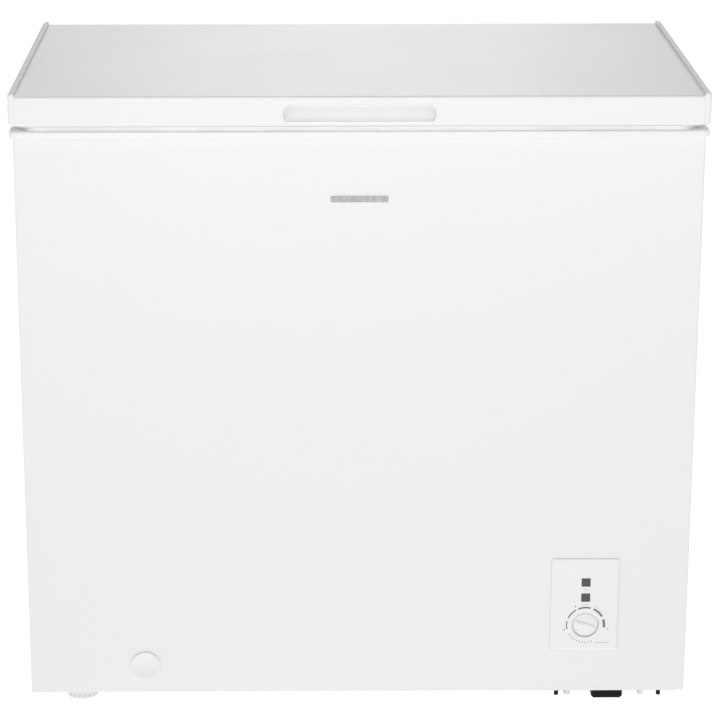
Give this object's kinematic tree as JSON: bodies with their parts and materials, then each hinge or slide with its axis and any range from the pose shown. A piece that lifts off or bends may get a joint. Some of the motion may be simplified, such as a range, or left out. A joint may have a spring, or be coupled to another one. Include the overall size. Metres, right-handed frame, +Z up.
{
  "type": "chest freezer",
  "caption": "Free-standing white chest freezer with a spring-balanced top lid, hanging wire basket, thermostat panel at the lower front right, defrost drain and levelling feet.",
  "frame": {"origin": "on the floor under the centre of the whole box (lid width, and depth from the lid's front to the back of the hinges)", "axes": "+X along the width towards the control panel's side, +Y from the front to the back, +Z up"},
  "size_m": [0.905, 0.545, 0.85],
  "materials": {
    "white_steel": "satin",
    "back_steel": "satin",
    "zinc_steel": "satin",
    "bright_steel": "satin",
    "white_plastic": "satin",
    "liner_aluminium": "satin",
    "lid_panel": "satin",
    "gasket_rubber": "matte",
    "pu_foam": "matte",
    "dark_lens": "gloss",
    "circuit_board": "satin",
    "black_paint": "satin",
    "black_rubber": "matte",
    "black_plastic": "matte",
    "copper": "satin",
    "grey_plastic": "matte",
    "white_wire": "gloss",
    "badge": "satin"
  },
  "bodies": {
    "cabinet": {"outer_wrapper": "white_steel", "back_panel": "back_steel", "bottom_pan": "zinc_steel", "top_collar": "white_plastic", "foam_insulation": "pu_foam", "inner_liner": "liner_aluminium", "bay_shell": "zinc_steel", "control_panel": "white_plastic", "indicator_lenses": "dark_lens", "indicator_board": "circuit_board", "thermostat_body": "zinc_steel", "sensor_capillary": "copper", "compressor_shell": "black_paint", "compressor_plate": "black_paint", "compressor_grommets": "black_rubber", "compressor_bolts": "bright_steel", "relay_cover": "black_plastic", "refrigerant_tubes": "copper", "filter_drier": "copper", "wiring_loom": "black_rubber", "evaporator_coil": "copper", "condenser_coil": "copper", "base_plate": "zinc_steel", "base_plate_screws": "bright_steel", "base_plate_plugs": "black_plastic", "fixed_foot_front": "black_plastic", "fixed_foot_rear": "black_plastic", "foot_sockets": "bright_steel", "side_grille": "white_plastic", "rear_cover": "back_steel", "rear_cover_screws": "bright_steel", "cord_gland": "black_rubber", "wall_spacers": "grey_plastic", "front_badge": "badge", "drain_tube": "white_plastic", "hinge_base_left": "zinc_steel", "hinge_base_right": "zinc_steel", "hinge_screws_cabinet": "bright_steel", "hinge_springs": "bright_steel"},
    "lid": {"lid_skin": "white_steel", "lid_cap_left": "white_plastic", "lid_cap_right": "white_plastic", "lid_foam": "pu_foam", "lid_liner": "lid_panel", "lid_gasket": "gasket_rubber", "handle_insert": "white_plastic", "hinge_leaf_left": "zinc_steel", "hinge_leaf_right": "zinc_steel", "hinge_pins": "bright_steel", "hinge_screws_lid": "bright_steel"},
    "spring_hooks": {"spring_hooks": "zinc_steel"},
    "thermostat_knob": {"thermostat_knob": "white_plastic", "thermostat_shaft": "bright_steel"},
    "drain_cap": {"drain_cap": "white_plastic"},
    "inner_drain_plug": {"inner_drain_plug": "white_plastic"},
    "basket": {"basket_frame": "white_wire", "basket_grid": "white_wire", "basket_grips": "grey_plastic"},
    "levelling_foot_front": {"levelling_foot_front": "grey_plastic"},
    "levelling_foot_rear": {"levelling_foot_rear": "grey_plastic"}
  },
  "joints": [
    {"name": "lid_hinge", "type": "hinge", "parent": "cabinet", "child": "lid", "pos_m": [0, 0.26, 0.813], "axis": [-1, 0, 0], "range_deg": [0, 85], "stiffness_Nm_per_rad": 9, "springref_deg": 84.8},
    {"name": "hook_slide", "type": "slide", "parent": "cabinet", "child": "spring_hooks", "axis": [0, 0, -1], "range_m": [0, 0.0112], "deforming": ["hinge_springs"]},
    {"name": "knob_turn", "type": "hinge", "parent": "cabinet", "child": "thermostat_knob", "pos_m": [0.3095, -0.262, 0.113], "axis": [0, 1, 0], "range_deg": [-33.8, 171.5]},
    {"name": "drain_cap_pull", "type": "slide", "parent": "cabinet", "child": "drain_cap", "axis": [0, -1, 0], "range_m": [0, 0.03]},
    {"name": "inner_plug_pull", "type": "slide", "parent": "cabinet", "child": "inner_drain_plug", "axis": [0, 0, 1], "range_m": [0, 0.03]},
    {"name": "basket_slide", "type": "slide", "parent": "cabinet", "child": "basket", "axis": [-1, 0, 0], "range_m": [0, 0.495]},
    {"name": "foot_screw_front", "type": "slide", "parent": "cabinet", "child": "levelling_foot_front", "axis": [0, 0, -1], "range_m": [0, 0.008]},
    {"name": "foot_screw_rear", "type": "slide", "parent": "cabinet", "child": "levelling_foot_rear", "axis": [0, 0, -1], "range_m": [0, 0.008]}
  ],
  "couplings": [
    {"joint": "hook_slide", "follows": "lid_hinge", "m_per_rad": 0.007286}
  ]
}
